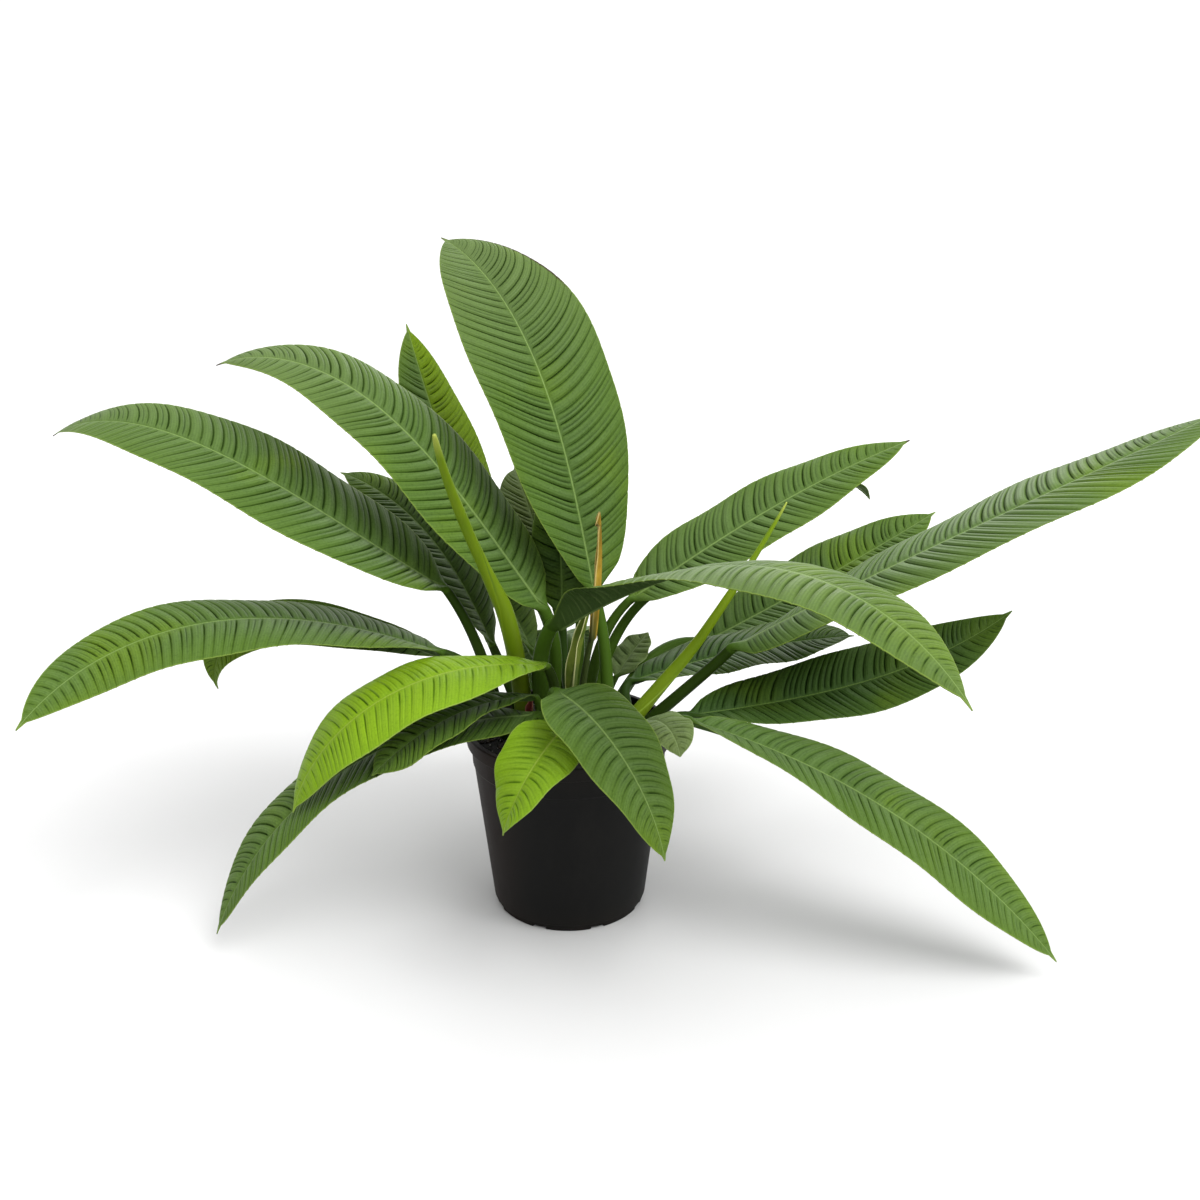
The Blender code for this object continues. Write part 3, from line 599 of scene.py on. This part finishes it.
def spearFinish():
    # yellow-green with paler streaks that run up it, greener on the stalk and pale at the tip
    p = newPaint("spearGreen")
    far, spin = p.attribute("far"), p.attribute("spin")
    streak = p.noise(60, 3, 0.6, (1, 1, 0.12))
    seam = p.step(spin, 0.5, 0.05) * p.step(far, 0, 0.2)
    colour = p.mix(streak, (0.08, 0.15, 0.003), (0.15, 0.215, 0.005))
    colour = p.mix(0.7 * p.step(far, 0.1, -0.8), colour, (0.1, 0.155, 0.005))
    colour = p.mix(0.8 * p.step(far, 0.85, 1), colour, (0.3, 0.34, 0.06))
    colour = p.mix(0.6 * seam, colour, (0.05, 0.1, 0.01))
    return p.surface(baseColor=p.scaled(colour, p.attribute("tone")),
                     roughness=0.38 + 0.15 * streak, normal=p.bump(streak, 0.0006, 0.4),
                     specularIorLevel=0.15)


def sheathFinish(name, dull, bright, edge):
    # papery: fibres run along it, with worn light places and a margin of its own colour
    p = newPaint(name)
    fibre = p.noise(240, 4, 0.65, (1, 1, 0.08))
    patch = p.noise(45, 3, 0.6)
    colour = p.mix(p.step(patch, 0.35, 0.65), dull, bright)
    colour = p.mix(0.5 * p.step(fibre, 0.5, 0.75), colour, dull)
    colour = p.mix(0.9 * p.step(p.attribute("edge"), 2.2, 0.4), colour, edge)
    colour = p.mix(p.attribute("stalk"), colour, (0.03, 0.05, 0.006))
    return p.surface(baseColor=p.scaled(colour, p.attribute("tone")),
                     roughness=0.55 + 0.2 * patch, normal=p.bump(fibre, 0.0008, 0.6),
                     specularIorLevel=0.2)


sheathTints = {  # dull, bright and margin
    "sheath_dry": ((0.28, 0.16, 0.012), (0.45, 0.3, 0.03), (0.6, 0.46, 0.16)),
    "sheath_pale": ((0.05, 0.08, 0.006), (0.1, 0.13, 0.015), (0.5, 0.5, 0.24)),
    "sheath_red": ((0.06, 0.008, 0.006), (0.15, 0.018, 0.012), (0.3, 0.12, 0.08)),
}


pot = dict(height=190, rimRadius=102.5, lipDepth=14, collarDepth=34, neckRadius=97.5,
    baseRadius=78.3, footHeight=7, footInset=2, ringInside=64, wall=1.8, floor=3, around=192,
    slots=8, slotWidth=14, slotHeight=2.4)


def wallRadius(z):
    # straight from the foot's top to the step under the collar
    share = (z - pot["footHeight"]) / (pot["height"] - pot["collarDepth"] - pot["footHeight"])
    return pot["baseRadius"] + share * (pot["neckRadius"] - 2 - pot["baseRadius"])


def rounded(corners, steps=5):
    # each corner (r, z, radius) becomes an arc: the blend (1-t)^2 A + 2t(1-t) B + t^2 C between the
    # points that lie a radius before and after it on its two sides
    spots = np.array([corner[:2] for corner in corners], float)
    line = [spots[0]]
    for before, corner, after, (_, _, radius) in zip(spots, spots[1:], spots[2:], corners[1:]):
        back, on = before - corner, after - corner
        ends = [corner + d * min(radius / np.hypot(*d), 0.45) for d in (back, on)]
        t = np.linspace(0, 1, steps)[:, None]
        arc = (1 - t) ** 2 * ends[0] + 2 * t * (1 - t) * corner + t ** 2 * ends[1]
        line.extend(arc if radius else [corner])
    line.append(spots[-1])
    return np.array(line)


def buildPot(finish):
    # a profile of (radius, height) turned about Z, its lowest points lifted over each drain slot
    top, wall, foot = pot["height"], pot["wall"], pot["footHeight"]
    step, lip, inside = top - pot["collarDepth"], top - pot["lipDepth"], pot["neckRadius"] - wall
    ring, ringInside = pot["baseRadius"] - pot["footInset"], pot["ringInside"]
    corners = [
        (0.01, pot["floor"], 0), (wallRadius(3) - 2 - wall, pot["floor"], 1.5),
        (wallRadius(step) - wall, step, 2), (inside, lip, 1), (inside + 1, top, 0.9),
        (pot["rimRadius"], top, 1.6), (pot["rimRadius"] - 0.4, lip, 1.4),
        (pot["neckRadius"], lip, 1.2), (wallRadius(step) + 1.2, step, 0.7),
        (wallRadius(step), step - 1.4, 0.6), (wallRadius(90), 90, 0),
        (pot["baseRadius"], foot, 0.8), (ring, foot - 1, 0.6), (ring - 0.3, 2.5, 0),
        (ring - 0.5, 0, 0.6), (ringInside + 0.3, 0, 0), (ringInside, 0, 0), (0.01, 0, 0)]
    line = rounded(corners)
    sector = 2 * np.pi / pot["slots"]
    edge, jamb = pot["slotWidth"] / 2 / ring, 0.002
    inner = np.linspace(-edge, edge, 6)[1:-1]
    marks = np.concatenate([[-edge - jamb, -edge + jamb], inner, [edge - jamb, edge + jamb]])
    gaps = np.linspace(edge, sector - edge, 18)[1:-1]
    turn = np.arange(pot["slots"])[:, None] * sector + np.concatenate([marks, gaps]) + sector / 2
    turn = turn.ravel()[:, None]
    inSlot = np.tile(np.concatenate([[0], np.ones(6), [0], 0 * gaps]), pot["slots"])[:, None]
    radius = np.broadcast_to(line[:, 0], (len(turn), len(line)))
    z = np.broadcast_to(line[:, 1], radius.shape)
    outside = np.arange(len(line)) > len(line) // 2
    low = (z < pot["slotHeight"]) & (radius > ringInside + 0.2) & outside
    z = np.where(low & (inSlot > 0), pot["slotHeight"], z)
    points = np.stack([radius * np.cos(turn), radius * np.sin(turn), z], -1).transpose(1, 0, 2)
    faces = tubeFaces(len(line), len(turn))
    return addPiece("pot_fine", points, faces, finish, "pot")


def potFinish():
    # black plastic with a fine moulded grain, faint scuffs up its side, a painted warm glow of
    # bounced light on its left side, and brown dust that gathers under the rim and at the foot
    p = newPaint("potPlastic")
    grain = p.noise(1500, 3, 0.6)
    scuff = p.noise(30, 4, 0.7, (1, 1, 0.25))
    across, height = (p.node("SeparateXYZ", None, {0: p.place()}, axis) for axis in "XZ")
    dust = p.step(height, 0.03, 0.0) * 0.5 + p.step(height, 0.15, 0.185) * 0.5
    colour = p.mix(0.5 * p.step(scuff, 0.45, 0.8), (0.005, 0.005, 0.0047), (0.011, 0.0105, 0.0095))
    colour = p.mix(0.5 * dust * scuff, colour, (0.03, 0.022, 0.015))
    # a painted warm glow of bounced light on the left side
    colour = p.mix(0.45 * p.step(across, -0.03, -0.09), colour, (0.02, 0.009, 0.006))
    return p.surface(baseColor=colour, roughness=0.42 + 0.25 * scuff,
                     normal=p.bump(grain, 0.0003, 0.35), specularIorLevel=0.1)


# edge is the soil's height at the wall, dome what its middle adds; chips and perlite: how many, the
# least and most of their half length, and how deep they sit
soil = dict(outer=95.4, bottom=3.3, edge=178, dome=8, lumps=1.6, sideTop=(93.7, 156), rows=56,
    around=160, crumb=0.32, margin=4, chips=(420, (1.6, 4.2), 0.2), perlite=(230, (0.5, 1.5), -0.2))


def crumbs(x, y):
    # small lumps: the sum of ten sines whose directions and lengths come from the seeded dice
    dice = np.random.default_rng(seed)
    total = 0 * x
    for _ in range(10):
        way, size, start = dice.uniform(0, np.pi), dice.uniform(4, 11), dice.uniform(0, 6)
        total = total + np.sin((x * np.cos(way) + y * np.sin(way)) * 2 * np.pi / size + start)
    return soil["crumb"] * total


def buildSoil(finish):
    # discs of rising radius with the height soilHeight + crumbs, and plain sides and bottom below
    part = np.linspace(0.01, 1, soil["rows"])[:, None]
    turn = np.linspace(0, 2 * np.pi, soil["around"], endpoint=False)
    x, y = (soil["outer"] * part * way for way in (np.cos(turn), np.sin(turn)))
    z = soilHeight(x, y) + crumbs(x, y) * (1 - part ** 8)
    top = np.stack([x, y, z], -1)
    sides = [soil["sideTop"], (wallRadius(3) - 4.4, soil["bottom"])]
    lower = [np.stack([r * np.cos(turn), r * np.sin(turn), 0 * turn + z], -1) for r, z in sides]
    points = np.concatenate([top, np.stack(lower)])
    faces = tubeFaces(len(points), soil["around"], True)
    return addPiece("soil_fine", points, faces, finish, "soil")


def scatter(name, amount, shape, faces, finish, number):
    # Copies of a small shape lie on the soil, each scaled, its corners jittered, tipped about Y and
    # spun about Z by the seeded dice.
    count, sizes, sink = amount
    dice = np.random.default_rng(seed + number)
    radius = (soil["outer"] - soil["margin"]) * np.sqrt(dice.uniform(0, 1, count))
    turn = dice.uniform(0, 2 * np.pi, count)
    x, y = radius * np.cos(turn), radius * np.sin(turn)
    size = dice.uniform(*sizes, (count, 3))
    body = shape * size[:, None] * dice.uniform(0.8, 1.2, (count, *shape.shape))
    spin, tip = dice.uniform(0, 2 * np.pi, count)[:, None], dice.uniform(-0.5, 0.5, count)[:, None]
    bx, by, bz = (body[..., axis] for axis in range(3))
    bx, bz = bx * np.cos(tip) + bz * np.sin(tip), bz * np.cos(tip) - bx * np.sin(tip)
    bx, by = bx * np.cos(spin) - by * np.sin(spin), bx * np.sin(spin) + by * np.cos(spin)
    rest = soilHeight(x, y) + crumbs(x, y) - sink
    points = np.stack([bx + x[:, None], by + y[:, None], bz + rest[:, None]], -1)
    first = (np.arange(count) * len(shape))[:, None, None]
    every = (np.array(faces)[None] + first).reshape(-1, len(faces[0]))
    return addPiece(name, points, every.tolist(), finish)


def soilFinish():
    # near-black peat, darkened as painted shade under the leaves, in darker and browner patches,
    # with lighter crumbs
    p = newPaint("pottingMix")
    crumb = p.noise(260, 5, 0.7)
    patch = p.noise(50, 3, 0.6)
    # all the soil's colours are darkened as painted shade under the leaves
    colour = p.mix(patch, (0.002, 0.0025, 0.002), (0.008, 0.007, 0.005))
    colour = p.mix(0.7 * p.step(crumb, 0.55, 0.75), colour, (0.04, 0.03, 0.02))
    return p.surface(baseColor=colour, roughness=0.85 + 0.1 * crumb,
                     normal=p.bump(crumb, 0.0015, 0.8))


def chipFinish(name, dark, light):
    # rough, and blotched from dark to light
    p = newPaint(name)
    grain = p.noise(320, 4, 0.7)
    shade = p.noise(90, 2, 0.5)
    colour = p.mix(p.step(shade, 0.35, 0.7), dark, light)
    return p.surface(baseColor=colour, roughness=0.75 + 0.2 * grain,
                     normal=p.bump(grain, 0.0008, 0.6))


camera = dict(place=(0.0315, -1.22, 0.73), tilt=71.5, lens=39.72, sensor=36)
# front, back and zenith light the dome; sunTilt turns the sun about X and Y; rim: where it hangs,
# what it faces, its size and its watts
studio = dict(front=0.7, back=1.1, zenith=0.6, floorGrey=0.58, floorReach=12, floorDrop=0.0003,
    sunTilt=(23, 33), sunAngle=42, sunStrength=2.9, rim=((0.5, 2.4, 1.5), (0, 0, 0.3), 1.2, 16))


def addCamera():
    made = bpy.data.objects.new("camera", bpy.data.cameras.new("camera"))
    made.data.lens, made.data.sensor_width = camera["lens"], camera["sensor"]
    made.location = camera["place"]
    made.rotation_euler = (np.radians(camera["tilt"]), 0, 0)
    bpy.context.scene.collection.objects.link(made)
    bpy.context.scene.camera = made


def addDome():
    # white light from all round, brighter from behind and overhead
    world = bpy.data.worlds.new("dome")
    bpy.context.scene.world = world
    p = Paint(world)
    way = p.node("TexCoord", out="Generated")
    y, z = (p.node("SeparateXYZ", None, {0: way}, axis) for axis in "YZ")
    strength = studio["front"] + (studio["back"] - studio["front"]) * p.step(y, -0.7, 0.3)
    strength = strength + studio["zenith"] * p.step(z, 0.1, 0.9)
    glow = p.node("Background", None, {"Color": (1, 1, 1, 1), "Strength": strength})
    end = p.tree.nodes.new("ShaderNodeOutputWorld")
    p.tree.links.new(glow.socket, end.inputs["Surface"])


def addLamps():
    # a wide soft sun from the front right and a rim lamp behind
    spot, target, size, watts = studio["rim"]
    aim = (Vector(target) - Vector(spot)).to_track_quat("-Z", "Y").to_euler()
    rim, sun = bpy.data.lights.new("rim", "AREA"), bpy.data.lights.new("sun", "SUN")
    rim.energy, rim.size = watts, size
    sun.energy, sun.angle = studio["sunStrength"], np.radians(studio["sunAngle"])
    sunTurn = (*np.radians(studio["sunTilt"]), 0)
    for lamp, place, turn in ((rim, spot, aim), (sun, (0, 0, 3), sunTurn)):
        made = bpy.data.objects.new(lamp.name, lamp)
        made.location, made.rotation_euler = place, turn
        bpy.context.scene.collection.objects.link(made)


def addFloor():
    p = newPaint("floorWhite")
    p.surface(baseColor=(*[studio["floorGrey"]] * 3, 1), roughness=0.9, specularIorLevel=0.0)
    mesh = bpy.data.meshes.new("floor")
    far, low = studio["floorReach"], -studio["floorDrop"]
    corners = [(-far, -far, low), (far, -far, low), (far, far, low), (-far, far, low)]
    mesh.from_pydata(corners, [], [(0, 1, 2, 3)])
    mesh.materials.append(p.owner)
    floor = bpy.data.objects.new("floor", mesh)
    bpy.context.scene.collection.objects.link(floor)


addCamera()
addDome()
addLamps()
addFloor()
bpy.context.scene.view_settings.view_transform = "Standard"
print("camera, light and floor are in place")

finishes = {kind: leafFinish(kind) for kind in leafKinds}
for number, (name, leaf) in enumerate(leaves.items()):
    buildLeaf(name, leaf, finishes, number)
print(len(leaves), "leaves")

spearGreen = spearFinish()
for name, spear in spears.items():
    buildSpear(name, spear, spearGreen)
for name, sheath in sheaths.items():
    papery = {name: sheathFinish(name + "_paper", *sheathTints[name])}
    buildLeaf(name, {**sheath, "kind": name}, papery, 0)
print("spears and sheaths")

buildPot(potFinish())
buildSoil(soilFinish())
chip = np.array([(x, y, z) for x in (-1, 1) for y in (-0.5, 0.5) for z in (-0.25, 0.25)])
chipFaces = [(0, 1, 3, 2), (4, 6, 7, 5), (0, 4, 5, 1), (2, 3, 7, 6), (0, 2, 6, 4), (1, 5, 7, 3)]
grain = np.array([(1, 0, 0), (0.3, 0.9, 0.2), (-0.8, 0.5, -0.1), (-0.7, -0.6, 0.1),
                  (0.4, -0.9, -0.2), (0.1, 0, 0.9), (-0.1, 0.1, -0.8)])
grainFaces = [(a, (a + 1) % 5, 5) for a in range(5)] + [((a + 1) % 5, a, 6) for a in range(5)]
barkBrown = chipFinish("barkBrown", (0.01, 0.006, 0.004), (0.045, 0.026, 0.014))
perliteWhite = chipFinish("perliteWhite", (0.4, 0.38, 0.34), (0.8, 0.78, 0.74))
scatter("bark_chips", soil["chips"], chip, chipFaces, barkBrown, 1)
scatter("perlite_grains", soil["perlite"], grain, grainFaces, perliteWhite, 2)
print("pot and soil")
